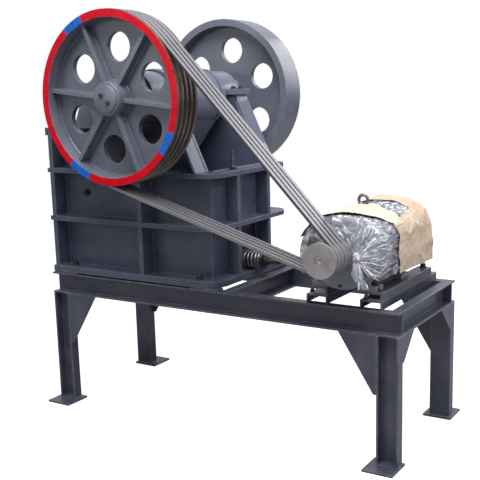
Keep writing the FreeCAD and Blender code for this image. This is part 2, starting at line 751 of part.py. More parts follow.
body_length = d.motor_back - d.motor_front
motor_barrel = rod("motor_barrel", (d.motor_place, d.motor_front, motor_height),
                   d.motor_radius, body_length, "y")
foot_low = motor_height - d.shaft_height
motor_feet = box("motor_foot", (d.motor_place - d.foot_half_span, d.motor_foot_front, foot_low),
                 (d.motor_place + d.foot_half_span, d.motor_foot_back, foot_low + d.foot_plate))
motor_saddle = box("motor_saddle",
                   (d.motor_place - d.motor_radius / 2, d.motor_foot_front, foot_low),
                   (d.motor_place + d.motor_radius / 2, d.motor_foot_back, motor_height))
trim = box("motor_trim", (d.motor_place - 2 * d.motor_radius, d.motor_front, foot_low - 60),
           (d.motor_place + 2 * d.motor_radius, d.motor_back, foot_low))
keep(cut("motor_housing", fuse("motor_solid", motor_barrel, motor_feet, motor_saddle), trim),
     "motor_body")

keep(rod("motor_shaft_bar", (d.motor_place, pulley_front + 4, motor_height),
         d.motor_shaft_radius, d.motor_front - 1 - (pulley_front + 4), "y"), "motor_shaft")

eye_middle = motor_height + d.eye_height
eye = doc.addObject("Part::Torus", "eye_ring")
bind(eye, "Radius1", d.eye_outer - d.eye_wire)
bind(eye, "Radius2", d.eye_wire)
place(eye, d.motor_place, d.eye_place, eye_middle, Rotation(Vector(1, 0, 0), 90))
eye_foot = rod("eye_foot", (d.motor_place, d.eye_place, motor_height + d.motor_radius), 12,
               d.eye_height - d.eye_outer - d.motor_radius + d.eye_wire, "z")
keep(fuse("eyebolt", eye, eye_foot), "motor_eyebolt")

base_rails = []
slide_rails = []
for side in (-1, 1):
    middle = d.motor_place + side * d.foot_pitch
    left = middle - d.base_rail_width / 2
    right = middle + d.base_rail_width / 2
    low = d.stand_height
    high = low + d.base_rail_height
    t = d.base_rail_plate
    outline = [(left, low), (left + t, low), (left + t, high - t), (right - t, high - t),
               (right - t, low), (right, low), (right, high), (left, high)]
    base_rails.append(plate("base_rail", "y", outline, -d.rail_half_length,
                            2 * d.rail_half_length))
    t = d.slide_rail_plate
    left = right - d.slide_rail_width
    low, high = high, high + d.base_rail_height
    outline = [(left, low), (right, low), (right, high), (left, high), (left, high - t),
               (right - t, high - t), (right - t, low + t), (left, low + t)]
    slide_rails.append(plate("slide_rail", "y", outline, -d.rail_half_length,
                             2 * d.rail_half_length - 70))
keep(group("base_rail_pair", *base_rails), "motor_base_channels")
keep(group("slide_rail_pair", *slide_rails), "motor_slide_rails")

# The packing round the motor: clear film over the drive end, paper over the rest. Each is
# a shell that hangs over the motor and stops short of its feet.
cover_inner = d.motor_radius + d.cover_gap
skirt = box("cover_skirt", (d.motor_place - 400, -600, 0),
            (d.motor_place + 400, 400, motor_height - d.shaft_height + d.cover_skirt))
film_out = rod("film_out", (d.motor_place, d.film_front, motor_height),
               cover_inner + d.film_thick, d.film_back - d.film_front, "y")
film_in = rod("film_in", (d.motor_place, d.motor_front - d.cover_gap, motor_height),
              cover_inner, d.film_back - d.motor_front + d.cover_gap, "y")
collar = rod("film_collar", (d.motor_place, d.film_front, motor_height), d.film_collar,
             100, "y")
# Both bulge on the right, over the motor's terminal box.
bulge_low = motor_height - d.shaft_height
film_bulge = box("film_bulge", (d.motor_place, d.film_bulge_front, bulge_low),
                 (d.motor_place + cover_inner + d.film_bulge, d.film_back,
                  motor_height + d.film_bulge_height))
keep(cut("film", fuse("film_solid", film_out, film_bulge), film_in, collar, skirt),
     "motor_film")

paper_front = d.film_back + 2
paper_out = rod("paper_out", (d.motor_place, paper_front, motor_height),
                cover_inner + d.paper_thick, d.paper_back - paper_front, "y")
bulge = box("paper_bulge", (d.motor_place, paper_front, bulge_low),
            (d.motor_place + cover_inner + d.paper_bulge, d.paper_bulge_back,
             motor_height + d.paper_bulge_height))
paper_in = rod("paper_in", (d.motor_place, paper_front, motor_height), cover_inner,
               d.motor_back + d.cover_gap - paper_front, "y")
eye_hole = rod("paper_eye", (d.motor_place, d.eye_place, motor_height), 24, 300, "z")
keep(cut("paper", fuse("paper_solid", paper_out, bulge), paper_in, eye_hole, skirt),
     "motor_paper")


# ---------------------------------------------------------------- check and write

doc.recompute()
for thing in doc.Objects:
    state = [word for word in thing.State if word in ("Invalid", "Error")]
    if state:
        raise RuntimeError("%s (%s) is %s" % (thing.Name, thing.Label, state))
for piece in PIECES:
    if piece.Shape.isNull() or not piece.Shape.isValid():
        raise RuntimeError(piece.Label + " has a bad shape")

os.makedirs("parts", exist_ok=True)
for piece in PIECES:
    piece.Shape.exportStep("parts/%s.step" % piece.Label)
    print("%-24s %2d solid(s)" % (piece.Label, len(piece.Shape.Solids)))
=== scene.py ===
import json
import random
from math import atan2, cos, exp, pi, radians, sin, sqrt

import bmesh
import bpy
from mathutils import Matrix, Vector, noise


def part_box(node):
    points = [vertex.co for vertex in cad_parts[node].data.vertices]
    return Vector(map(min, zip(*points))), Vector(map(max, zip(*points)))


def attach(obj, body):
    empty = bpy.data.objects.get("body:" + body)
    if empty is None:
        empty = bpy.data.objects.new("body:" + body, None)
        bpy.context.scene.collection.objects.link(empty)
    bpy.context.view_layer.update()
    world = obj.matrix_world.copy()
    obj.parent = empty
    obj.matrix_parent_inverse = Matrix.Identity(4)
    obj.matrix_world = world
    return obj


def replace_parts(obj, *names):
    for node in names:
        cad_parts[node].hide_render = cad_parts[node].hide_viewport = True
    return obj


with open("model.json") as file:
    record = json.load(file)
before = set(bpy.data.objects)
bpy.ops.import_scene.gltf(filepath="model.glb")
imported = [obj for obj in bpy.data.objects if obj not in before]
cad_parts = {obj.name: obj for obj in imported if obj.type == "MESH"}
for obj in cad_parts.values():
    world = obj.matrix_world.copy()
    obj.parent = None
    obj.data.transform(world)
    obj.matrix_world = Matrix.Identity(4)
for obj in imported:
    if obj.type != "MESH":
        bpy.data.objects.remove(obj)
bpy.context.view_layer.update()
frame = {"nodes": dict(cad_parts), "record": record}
nodes = frame["nodes"]
scene = bpy.context.scene
scene.view_settings.view_transform = "Standard"


# ---------------- camera
# A long studio lens stands well back from the drive side and looks a little down on the
# machine, turned so that the motor end comes nearer than the crusher.
camera_data = bpy.data.cameras.new("camera")
camera = bpy.data.objects.new("camera", camera_data)
scene.collection.objects.link(camera)
scene.camera = camera
camera_data.sensor_width = 36
camera_data.lens = 65.84
camera_data.shift_x = -0.0627
camera_data.shift_y = 0.0248
camera_data.clip_end = 60
yaw, pitch, roll = radians(30.7685), radians(-10.9633), radians(-1.1973)
camera.matrix_world = (Matrix.Translation((2.284, -3.590, 1.623)) @ Matrix.Rotation(yaw, 4, "Z")
                       @ Matrix.Rotation(pi / 2 + pitch, 4, "X") @ Matrix.Rotation(roll, 4, "Z"))


# ---------------- studio
# A seamless white floor under one broad light from above. Three weaker lights stand on the
# drive side, at the motor's end and behind, and draw the edges of the rims.
floor_mesh = bpy.data.meshes.new("studio_floor")
floor_half = 30
floor_corners = [(x * floor_half, y * floor_half, 0) for x, y in ((-1, -1), (1, -1), (1, 1), (-1, 1))]
floor_mesh.from_pydata(floor_corners, [], [(0, 1, 2, 3)])
floor = bpy.data.objects.new("studio_floor", floor_mesh)
scene.collection.objects.link(floor)
floor_finish = bpy.data.materials.new("studio_floor_finish")
floor_finish.use_nodes = True
floor_mesh.materials.append(floor_finish)


def is_socket(value):
    return isinstance(value, bpy.types.NodeSocket)


def join(made, inputs):
    """Link or set the sockets of a shader node."""
    for socket, value in inputs.items():
        if is_socket(value):
            made.id_data.links.new(value, made.inputs[socket])
        else:
            made.inputs[socket].default_value = value


def node(beside, kind, inputs=(), **settings):
    """Add a shader node to a tree, which is given by itself or by any socket in it."""
    made = beside.id_data.nodes.new("ShaderNode" + kind)
    for key, value in settings.items():
        setattr(made, key, value)
    join(made, dict(inputs))
    return made


def seen_white(tree, lit, white, output, in_gloss=0.0):
    """Pure white to the eye and partly in gloss, while it gives the lit shader's light."""
    path = node(tree, "LightPath").outputs
    both = node(tree, "Math", {0: path["Is Glossy Ray"], 1: in_gloss,
                               2: path["Is Camera Ray"]}, operation="MULTIPLY_ADD")
    either = node(tree, "MixShader", {0: both.outputs[0], 1: lit, 2: white})
    join(tree.nodes[output], {"Surface": either.outputs["Shader"]})


# A trace of the lit floor stays in what is seen, so that the feet have a soft shadow.
ground = floor_finish.node_tree
floor_shader = ground.nodes["Principled BSDF"]
join(floor_shader, {"Base Color": (0.30, 0.30, 0.31, 1), "Roughness": 0.9, "Specular IOR Level": 0.0})
floor_lit = floor_shader.outputs["BSDF"]
paper_white = node(ground, "Emission", {"Strength": 0.90}).outputs["Emission"]
trace = node(ground, "AddShader", {0: paper_white, 1: floor_lit}).outputs["Shader"]
seen_white(ground, floor_lit, trace, "Material Output")

world = bpy.data.worlds.new("studio_light")
world.use_nodes = True
sky = world.node_tree
backdrop = sky.nodes["Background"]
join(backdrop, {"Color": (1, 1, 1, 1), "Strength": 1.0})
glow = node(sky, "Background", {"Color": (0.90, 0.94, 1, 1), "Strength": 0.34})
seen_white(sky, glow.outputs["Background"], backdrop.outputs["Background"], "World Output",
           in_gloss=0.5)
scene.world = world


def soft_light(name, place, target, width, power):
    data = bpy.data.lights.new(name, "AREA")
    data.shape = "SQUARE"
    data.size = width
    data.energy = power
    lamp = bpy.data.objects.new(name, data)
    scene.collection.objects.link(lamp)
    lamp.location = place
    lamp.rotation_euler = (Vector(target) - Vector(place)).to_track_quat("-Z", "Y").to_euler()


soft_light("top_light", (0.7, -1.6, 5.6), (0, 0, 1.1), 3.8, 620)
soft_light("key_light", (-2.0, -4.6, 2.6), (-0.2, 0, 1.1), 2.4, 40)
soft_light("right_light", (4.3, -0.2, 3.0), (0.2, 0, 1.1), 2.6, 120)
soft_light("back_light", (1.0, 5.2, 3.2), (-0.3, 0, 1.0), 2.8, 80)


# ---------------- stand and welded frame
# The stand and the crusher's body are rolled channel and thick plate, welded together and
# sprayed dark blue-grey. The paint is thin on the edges, where the steel has been knocked.
def start_finish(name):
    finish = bpy.data.materials.new(name)
    finish.use_nodes = True
    place = node(finish.node_tree, "TexCoord").outputs["Object"]
    return finish, finish.node_tree.nodes["Principled BSDF"], place


def grain(place, scale, detail, twist=0.0):
    """A random cloudy height over the surface."""
    return node(place, "TexNoise", {"Vector": place, "Scale": scale, "Detail": detail,
                                    "Distortion": twist}).outputs["Fac"]


def ramp(value, start, end, low=0.0, high=1.0):
    """Run from low to high as the value goes from start to end."""
    return node(value, "MapRange", {"Value": value, "From Min": start, "From Max": end,
                                    "To Min": low, "To Max": high}).outputs["Result"]


def mottle(place, scale, low=0.0, high=1.0, detail=4.0):
    """A soft cloudy value between low and high over the surface."""
    return ramp(grain(place, scale, detail), 0.3, 0.7, low, high)


def rounded(place, width, samples):
    """The surface's normal with its sharp edges rounded over."""
    return node(place, "Bevel", {"Radius": width}, samples=samples).outputs["Normal"]


def raised(height, strength, distance, under=None):
    """The normal of a surface raised by height, over another normal if one is given."""
    bump = node(height, "Bump", {"Height": height, "Strength": strength, "Distance": distance})
    if under is not None:
        join(bump, {"Normal": under})
    return bump.outputs["Normal"]


def edge_mask(place, width, low, high):
    """One along the sharp edges of a solid and nothing on its flat faces."""
    flat = node(place, "NewGeometry").outputs["Normal"]
    same = node(place, "VectorMath", {0: rounded(place, width, 6), 1: flat}, operation="DOT_PRODUCT")
    return ramp(same.outputs["Value"], high, low)


def blend(share, first, second):
    """The first colour where share is nothing, and the second where it is one."""
    colours = [colour if is_socket(colour) else (*colour, 1) for colour in (first, second)]
    return node(share, "Mix", {0: share, 6: colours[0], 7: colours[1]}, data_type="RGBA").outputs[2]


def maths(operation, *terms):
    """A step of arithmetic; at least one of its terms is a socket."""
    return node(next(filter(is_socket, terms)), "Math", dict(enumerate(terms)),
                operation=operation).outputs[0]


def times(first, second):
    return maths("MULTIPLY", first, second)


def sprayed_paint(name, colour, shade, rough, worn):
    """Sprayed enamel: a little cloudy, faintly orange-peeled, and worn along its edges."""
    finish, shader, place = start_finish(name)
    tone = blend(mottle(place, 3.5), colour, shade)
    dust = times(mottle(place, 11.0, 0.0, 0.35, 6.0), mottle(place, 2.1))
    tone = blend(dust, tone, (0.13, 0.13, 0.150))
    edges = times(edge_mask(place, 0.004, 0.80, 0.985), mottle(place, 28.0, 0.05, worn, 6.0))
    tone = blend(edges, tone, (0.36, 0.37, 0.42))
    wave = raised(grain(place, 16.0, 3.0), 0.10, 0.006, rounded(place, 0.0025, 4))
    peel = raised(grain(place, 240.0, 2.0), 0.12, 0.0006, wave)
    join(shader, {"Base Color": tone, "Normal": peel,
                  "Roughness": mottle(place, 7.0, rough - 0.07, rough + 0.09, 5.0)})
    return finish


body_paint = sprayed_paint("frame_paint", (0.034, 0.040, 0.068), (0.047, 0.056, 0.092), 0.30, 0.75)
stand_paint = sprayed_paint("stand_paint", (0.024, 0.026, 0.044), (0.036, 0.039, 0.062), 0.32, 0.8)
casting_paint = sprayed_paint("casting_paint", (0.090, 0.097, 0.136), (0.115, 0.124, 0.172), 0.24, 0.8)


def repaint(node_names, finish):
    for name in node_names:
        slots = nodes[name].data.materials
        if not slots:
            slots.append(finish)
        for i in range(len(slots)):
            slots[i] = finish


def make_piece(name, shape, finish, body, smooth=35):
    """Make a piece of finished mesh work that rides on one of the bodies."""
    bmesh.ops.recalc_face_normals(shape, faces=shape.faces)
    mesh = bpy.data.meshes.new(name)
    shape.to_mesh(mesh)
    shape.free()
    mesh.materials.append(finish)
    mesh.shade_smooth()
    mesh.set_sharp_from_angle(angle=radians(smooth))
    made = bpy.data.objects.new(name, mesh)
    scene.collection.objects.link(made)
    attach(made, body)
    return made


def skin_rings(shape, rings, closed=False):
    """Join rings of points, each the same count, into one surface with closed ends."""
    rows = [[shape.verts.new(point) for point in ring] for ring in rings]
    for first, second in zip(rows, rows[1:] + rows[:1] if closed else rows[1:]):
        for i in range(len(first)):
            j = (i + 1) % len(first)
            shape.faces.new((first[i], first[j], second[j], second[i]))
    if not closed:
        shape.faces.new(rows[0])
        shape.faces.new(rows[-1])


def evenly(count):
    """Shares from nothing to one in even steps."""
    return [k / count for k in range(count + 1)]


def around(count):
    """Evenly spaced angles once round a circle."""
    return [2 * pi * k / count for k in range(count)]


def tube(shape, points, radius, sides=8, closed=False):
    """A round bar along a line of points; radius may differ from point to point."""
    count = len(points)
    radii = radius if isinstance(radius, list) else [radius] * count
    rings = []
    across = None
    for i, point in enumerate(points):
        before = points[i - 1] if (i or closed) else points[i]
        after = points[(i + 1) % count] if (i < count - 1 or closed) else points[i]
        along = (after - before).normalized()
        if across is None:
            across = along.orthogonal().normalized()
        across = (across - along * across.dot(along)).normalized()
        side = along.cross(across)
        rings.append([point + (across * cos(a) + side * sin(a)) * radii[i] for a in around(sides)])
    skin_rings(shape, rings, closed)


def stray(x, y, z):
    """A smooth random value between minus one and one."""
    return noise.noise(Vector((x, y, z)))


weld_shape = bmesh.new()
weld_rng = random.Random(7)


def weld(start, end, leg=0.0055):
    """A fillet weld laid by hand: an uneven, rippled bead along a joint."""
    start, end = Vector(start), Vector(end)
    count = max(4, int((end - start).length / 0.0045))
    swell = weld_rng.random() * 100
    points = []
    radii = []
    for i in range(count + 1):
        share = i / count
        wander = stray(swell, i * 0.21, 0) * leg * 0.18
        points.append(start.lerp(end, share) + Vector((0, 0, wander)))
        ripple = 0.10 if i % 2 else -0.04
        fade = min(1.0, 0.55 + 12 * min(share, 1 - share))
        radii.append(leg * fade * (0.86 + ripple + 0.14 * stray(swell + 9, i * 0.37, 0)))
    tube(weld_shape, points, radii, 7)


def across_axis(axis):
    """An axis of length one, with two directions square to it."""
    axis = Vector(axis).normalized()
    side = axis.orthogonal().normalized()
    return axis, side, axis.cross(side)


def hexagon(shape, foot, axis, across_flats, height, turn=0.0):
    """A hexagon head or nut with its corners turned off, standing on foot along axis."""
    axis, side, other = across_axis(axis)
    corner = across_flats / sqrt(3)
    rings = []
    for height_share, flat_share in ((0, 0.97), (0.08, 1), (0.82, 1), (1, 0.90)):
        ring = []
        for angle in around(36):
            within = (angle + pi / 6) % (pi / 3) - pi / 6
            radius = min(across_flats / 2 / cos(within), corner * 0.985) * flat_share
            spread = angle + turn
            ring.append(Vector(foot) + axis * height * height_share
                        + (side * cos(spread) + other * sin(spread)) * radius)
        rings.append(ring)
    skin_rings(shape, rings)


def turned(shape, foot, axis, profile, count=32):
    """A lathe-turned bar: profile gives (distance along axis, radius) pairs."""
    axis, side, other = across_axis(axis)
    skin_rings(shape, [[Vector(foot) + axis * along
                        + (side * cos(a) + other * sin(a)) * radius
                        for a in around(count)] for along, radius in profile])


def threaded(length, radius, pitch=0.0025, depth=0.0012):
    """The profile of a threaded bar, with its crests and roots as fine rings."""
    count = int(length / pitch)
    profile = [(0, radius - depth)]
    for i in range(count):
        profile += [(pitch * (i + 0.3), radius - depth), (pitch * (i + 0.5), radius),
                    (pitch * (i + 0.7), radius)]
    return profile + [(length - 0.001, radius - depth), (length, radius - 2 * depth)]


painted_nodes = [part["node"] for part in frame["record"]["subparts"]
                 if part["material_slot"] == "frame_paint"]
repaint(painted_nodes, body_paint)
stand_nodes = [name for name in painted_nodes
               if name.startswith(("stand_", "leg_", "motor_", "base_shims"))]
repaint(stand_nodes, stand_paint)
repaint(["pitman", "bearing_housing_front", "bearing_housing_back", "pedestal_plates",
         "lifting_lugs"], casting_paint)


def middle_of(name):
    """The middle of a part's box."""
    return Vector([(low + high) / 2 for low, high in zip(*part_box(name))])


# Hand-laid welds run round the stand's joints and along every rib and ring of the body.
wall_low, wall_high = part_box("side_wall_front")
ring_low, ring_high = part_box("lower_rib_ring")
top_ring_low, top_ring_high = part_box("upper_rib_ring")
base_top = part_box("base_flange")[1][2]
front_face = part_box("front_wall")[1][0]
rear_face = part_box("rear_wall")[1][0]
wall_face = -wall_low[1]
front_corner = 0.344
rib_half = 0.011
rib_place = -0.369
rear_rib_place = 0.137
rear_seams = (-0.24, -0.126, 0.126, 0.24)
seam_heights = (base_top, ring_low[2], ring_high[2], top_ring_low[2], top_ring_high[2])
for side in (-1, 1):
    y = side * wall_face
    for height in seam_heights:
        for start, end in ((front_face, rib_place - rib_half), (rib_place + rib_half, rear_face)):
            weld((start, y, height), (end, y, height))
    for low, high in (seam_heights[:2], seam_heights[2:4]):
        for face in (-rib_half, rib_half):
            weld((rib_place + face, y, low), (rib_place + face, y, high))
            rear_rib = side * rear_rib_place + face
            weld((rear_face, rear_rib, low), (rear_face, rear_rib, high))
        weld((front_face, y, low), (front_face, y, high))
        weld((front_face, y + side * 0.002, low), (front_face, side * front_corner, low))
for height in seam_heights:
    for start, end in zip(rear_seams, rear_seams[1:]):
        weld((rear_face, start, height), (rear_face, end, height))

# The sloping plates are welded in two runs, and the lugs along both their faces.
thin_leg = 0.005
plate_outer, plate_inner = 0.262, 0.236
slope_low, slope_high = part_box("pedestal_plates")
for side in (-1, 1):
    slope_foot = (slope_high[0], side * plate_outer, slope_low[2])
    for run in range(2):
        weld(slope_foot, (slope_low[0] + 0.014, side * plate_outer, slope_high[2] - 0.01), thin_leg)
    weld(slope_foot, (slope_high[0], side * front_corner, slope_low[2]), thin_leg)
lug_low, lug_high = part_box("lifting_lugs")
for side in (-1, 1):
    for y in (side * plate_outer, side * plate_inner):
        weld((lug_low[0] + 0.004, y, lug_low[2]), (lug_high[0] - 0.004, y, lug_low[2]), thin_leg)

rail_low, rail_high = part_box("stand_front_rail")
channel_depth, channel_flange = 0.1, 0.048
gusset_reach, gusset_drop, end_gusset_drop = 0.178, 0.258, 0.118
stand_end = rail_high[0]
stand_side = -rail_low[1]
beam_low = rail_low[2]
foot_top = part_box("leg_base_plates")[1][2]
web_side = stand_side - channel_flange
leg_inner = stand_end - channel_depth
seam_inset = 0.004
for end in (-1, 1):
    for side in (-1, 1):
        inner, outer = end * leg_inner, end * stand_end
        web, face = side * web_side, side * (stand_side - seam_inset)
        for x in (inner, outer):
            for height in (foot_top, beam_low):
                weld((x, web, height), (x, side * stand_side, height), thin_leg)
        weld((inner, web, foot_top), (outer, web, foot_top), thin_leg)
        weld((inner, face, beam_low), (end * (leg_inner - gusset_reach), face, beam_low), thin_leg)
        weld((inner, face, beam_low), (inner, face, beam_low - gusset_drop), thin_leg)
        end_face = end * (stand_end - seam_inset)
        weld((end_face, web, beam_low), (end_face, web, beam_low - end_gusset_drop), thin_leg)
        for height in (beam_low + seam_inset, rail_high[2] - seam_inset):
            weld((outer, web, height), (end * (stand_end - channel_flange), web, height), thin_leg)
make_piece("weld_beads", weld_shape, body_paint, "root", 60)


# ---------------- bolts of the frame
# Black hexagon bolts clamp the body's foot to the stand, and one stands in each side wall.
# Each bearing housing is held down by four more through its flange.
def black_steel(name, colour, rough):
    """Oiled black steel, worn a little bright along its edges."""
    finish, shader, place = start_finish(name)
    tone = blend(mottle(place, 40.0), colour, (colour[0] * 2.2, colour[1] * 1.9, colour[2] * 1.7))
    edges = times(edge_mask(place, 0.0015, 0.8, 0.98), mottle(place, 90.0, 0.1, 0.8))
    join(shader, {
        "Base Color": blend(edges, tone, (0.23, 0.22, 0.21)),
        "Roughness": mottle(place, 60.0, rough - 0.1, rough + 0.12), "Metallic": 0.75,
        "Normal": raised(grain(place, 600.0, 3.0), 0.15, 0.0005)})
    return finish


bolt_steel = black_steel("black_bolt_steel", (0.022, 0.022, 0.024), 0.42)


def black_piece(name, shape, body="root"):
    return make_piece(name, shape, bolt_steel, body)


up = Vector((0, 0, 1))


def bolt(shape, foot, axis, across_flats, head, washer=0.003, tail=0.0):
    """A hexagon bolt or nut on a washer, with the thread's end standing out past it."""
    foot, axis = Vector(foot), Vector(axis)
    if washer:
        radius = across_flats * 0.78
        turned(shape, foot, axis, [(0, radius), (washer * 0.8, radius), (washer, radius * 0.97)], 28)
    hexagon(shape, foot + axis * washer, axis, across_flats, head, bolt_rng.random() * 6)
    if tail:
        turned(shape, foot + axis * (washer + head), axis, threaded(tail, across_flats * 0.31), 16)


bolt_rng = random.Random(11)
base_bolt_low, base_bolt_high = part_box("base_bolts")
bolt_radius = 0.015
bolt_shape = bmesh.new()
for x in (base_bolt_low[0] + bolt_radius, base_bolt_high[0] - bolt_radius):
    for side in (-1, 1):
        bolt(bolt_shape, (x, side * (base_bolt_high[1] - bolt_radius), base_bolt_low[2]),
             up, 0.025, 0.012, tail=0.010)
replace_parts(black_piece("base_bolt_heads", bolt_shape), "base_bolts")

wall_bolt = middle_of("wall_bolts")
bolt_shape = bmesh.new()
for side in (-1, 1):
    bolt(bolt_shape, (wall_bolt.x, side * wall_face, wall_bolt.z), (0, side, 0), 0.026, 0.012,
         tail=0.012)
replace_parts(black_piece("wall_bolt_heads", bolt_shape), "wall_bolts")

bolt_shape = bmesh.new()
flange_top = wall_high[2] + 0.028
flange_edge = 0.034
for name in ("bearing_housing_front", "bearing_housing_back"):
    housing_low, housing_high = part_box(name)
    for x in (housing_low[0] + flange_edge, housing_high[0] - flange_edge):
        for y in (housing_low[1] + flange_edge, housing_high[1] - flange_edge):
            bolt(bolt_shape, (x, y, flange_top), up, 0.024, 0.011, tail=0.003)
black_piece("housing_bolts", bolt_shape)

# A threaded stud with its nut stands on the rear ring.
stud_low, stud_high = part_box("rear_stud")
stud_foot = Vector((*middle_of("rear_stud").xy, stud_low[2]))
bolt_shape = bmesh.new()
turned(bolt_shape, stud_foot, up, threaded(stud_high[2] - stud_low[2], 0.008), 20)
hexagon(bolt_shape, stud_foot + Vector((0, 0, 0.002)), up, 0.030, 0.015, 0.4)
turned(bolt_shape, stud_foot, up, [(0, 0.022), (0.002, 0.022), (0.0025, 0.021)], 28)
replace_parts(black_piece("rear_stud_thread", bolt_shape), "rear_stud")


# ---------------- flywheels
# Two iron castings painted like the frame. The drive wheel's rim is turned bare for the
# belts, which keep its grooves clean, and its face has a red safety band with blue marks.
def outside(mask):
    return maths("SUBTRACT", 1.0, mask)


def from_middle(place, centre):
    """The way from a centre, and its parts along X, Y and Z."""
    away = node(place, "VectorMath", {0: place, 1: centre}, operation="SUBTRACT").outputs[0]
    return away, *node(place, "SeparateXYZ", {0: away}).outputs


def length(way):
    return node(way, "VectorMath", {0: way}, operation="LENGTH").outputs["Value"]


def from_axle(place, centre):
    """The distances along X, Y and Z from a centre, and the one from its axle along Y."""
    away, x, y, z = from_middle(place, centre)
    return x, y, z, length(node(place, "CombineXYZ", {0: x, 2: z}).outputs[0])


def lathe_marks(radius, along, scale, detail):
    """The fine rings that a lathe leaves about its axis."""
    return grain(node(radius, "CombineXYZ", {0: radius, 1: along}).outputs[0], scale, detail)


wheel_low, wheel_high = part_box("drive_flywheel")
axle = middle_of("drive_flywheel") * Vector((1, 0, 1))
rim_radius = (wheel_high[0] - wheel_low[0]) / 2
rim_face = wheel_low[1]
band_inner = 0.355
blue_marks = ((110, 127), (231, 250), (320.7, 337.4))
wheel_coat = ((0.074, 0.082, 0.110), (0.102, 0.112, 0.145), 0.25, 0.8)


def banded_paint():
    """The wheel's paint, left off the turned rim and covered by the band on the face."""
    finish = sprayed_paint("drive_wheel_paint", *wheel_coat)
    shader = finish.node_tree.nodes["Principled BSDF"]
    place = finish.node_tree.nodes["Texture Coordinate"].outputs["Object"]
    x, y, z, radius = from_axle(place, axle)
    radius = maths("ADD", radius, mottle(place, 60.0, -0.0016, 0.0016))
    degrees = times(maths("ARCTAN2", z, x), 180 / pi)
    degrees = maths("MODULO", maths("ADD", degrees, 360.0), 360.0)

    # Bare turned iron: everything outside the rim's shoulder that is not the face.
    behind_face = ramp(y, rim_face + 0.001, rim_face + 0.0015)
    bare = times(ramp(radius, rim_radius - 0.0165, rim_radius - 0.0155), behind_face)
    iron = blend(lathe_marks(radius, y, 900.0, 2.0), (0.105, 0.083, 0.072), (0.20, 0.165, 0.145))
    iron = blend(mottle(place, 9.0, 0.0, 0.65), iron, (0.075, 0.062, 0.055))
    tone = blend(bare, shader.inputs["Base Color"].links[0].from_socket, iron)

    # The safety band, brushed on by hand over the machined face.
    on_face = times(outside(behind_face), ramp(radius, band_inner - 0.0006, band_inner + 0.0006))
    blue = 0.0
    for start, end in blue_marks:
        mark = times(ramp(degrees, start - 0.25, start + 0.25),
                     outside(ramp(degrees, end - 0.25, end + 0.25)))
        blue = maths("MAXIMUM", blue, mark)
    brushed = mottle(place, 30.0)
    band = blend(blue, blend(brushed, (0.50, 0.004, 0.013), (0.36, 0.003, 0.011)),
                 blend(brushed, (0.012, 0.105, 0.42), (0.008, 0.075, 0.32)))
    join(shader, {
        "Base Color": blend(on_face, tone, band),
        "Metallic": times(bare, mottle(place, 15.0, 0.45, 0.8)),
        "Specular IOR Level": times(outside(times(on_face, 0.8)), 0.5)})
    return finish


wheel_paint = sprayed_paint("wheel_paint", *wheel_coat)
repaint(["plain_flywheel"], wheel_paint)
repaint(["drive_flywheel"], banded_paint())

# A round cap on each end of the shaft, held by two bolts into the shaft's end.
cap_radius = 0.062
cap_flange = 0.073
cap_bolt_head = 0.0075
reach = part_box("hub_caps")[1][1] + rim_face - 0.010
cap_shape = bmesh.new()
bolt_shape = bmesh.new()
for side in (-1, 1):
    face = side * -rim_face
    turned(cap_shape, axle + Vector((0, face, 0)), (0, side, 0),
           [(0, cap_flange), (0.004, cap_flange), (0.006, cap_flange - 0.002),
            (0.0062, cap_radius), (reach - 0.004, cap_radius),
            (reach - 0.001, cap_radius - 0.001), (reach, cap_radius - 0.004)], 96)
    for hand in (-1, 1):
        bolt(bolt_shape, axle + Vector((0.0185 * hand, face + side * reach,
                                        0.0170 * hand * side)),
             (0, side, 0), 0.019, cap_bolt_head, washer=0)
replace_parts(make_piece("shaft_end_caps", cap_shape, wheel_paint, "flywheels", 25),
            "hub_caps")
black_piece("cap_bolts", bolt_shape, "flywheels")


def ring_points(centre, radius, count):
    """Points evenly round a circle about an axis along Y."""
    return [centre + Vector((radius * cos(a), 0, radius * sin(a))) for a in around(count)]


# Fillets in the castings, where the ribs and the hub run into the web.
fillet_shape = bmesh.new()
fillet = 0.006
rib_half_width = 0.009
rib_radii = (0.080, 0.10, 0.14, 0.2, 0.26, 0.31, 0.345, 0.352)
web_recess = 0.065
first_rib = -6.5
for side in (-1, 1):
    web = axle + Vector((0, side * (-rim_face - web_recess), 0))
    for i in range(6):
        angle = radians(first_rib + 60 * i)
        along = Vector((cos(angle), 0, sin(angle)))
        across = Vector((-along.z, 0, along.x))
        for edge in (-rib_half_width, rib_half_width):
            tube(fillet_shape, [web + along * r + across * edge for r in rib_radii],
                 [0.004, *[fillet] * 6, 0.003], 10)
    for radius in (0.0815, 0.3475):
        tube(fillet_shape, ring_points(web, radius, 120), fillet, 10, closed=True)
make_piece("casting_fillets", fillet_shape, wheel_paint, "flywheels", 60)


# ---------------- dust seals, with painted gap shade
# A ring of black rubber on the inner end of each bearing housing seals the gap between the
# housing and the swing jaw's round head; its black is painted shade, the dark line of that gap.
gap_shade_rubber, shader, place = start_finish("gap_shade_rubber")
join(shader, {
    "Base Color": blend(mottle(place, 30.0), (0.012, 0.012, 0.013), (0.030, 0.029, 0.030)),
    "Roughness": mottle(place, 50.0, 0.60, 0.85)})
gap_shade_seal_shape = bmesh.new()
seal_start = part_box("bearing_housing_back")[0][1]
seal_bore, seal_radius, seal_width = 0.104, 0.129, 0.011
for side in (-1, 1):
    turned(gap_shade_seal_shape, axle + Vector((0, side * seal_start, 0)), (0, -side, 0),
           [(0, seal_bore), (0, seal_radius - 0.002), (0.002, seal_radius),
            (seal_width - 0.002, seal_radius), (seal_width, seal_radius - 0.002),
            (seal_width, seal_bore), (0, seal_bore)])
make_piece("gap_shade_seals", gap_shade_seal_shape, gap_shade_rubber, "root")
